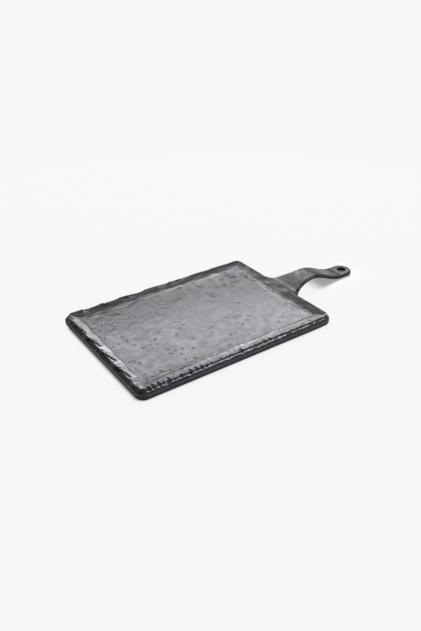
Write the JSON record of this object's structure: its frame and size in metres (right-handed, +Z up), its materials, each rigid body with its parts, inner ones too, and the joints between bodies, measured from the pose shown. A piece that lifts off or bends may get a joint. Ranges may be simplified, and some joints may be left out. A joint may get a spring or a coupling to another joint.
{
  "type": "serving board",
  "caption": "Rectangular slate-look melamine serving board with a recessed face, raised rim, arched handle with a hanging hole, and a ribbed base on push-in feet.",
  "frame": {"origin": "on the table, under the middle of the overall length and width", "axes": "+X along the board towards the handle, +Y across the board, +Z up"},
  "size_m": [0.413, 0.2, 0.0218],
  "materials": {
    "melamine_top": "satin charcoal melamine with a riven slate texture",
    "melamine_base": "smooth matt charcoal melamine",
    "silicone": "matt black silicone"
  },
  "bodies": {
    "root": {"upper_moulding": "melamine_top", "base_moulding": "melamine_base", "foot_front_left": "silicone", "foot_front_right": "silicone", "foot_back_left": "silicone", "foot_back_right": "silicone"}
  },
  "joints": []
}
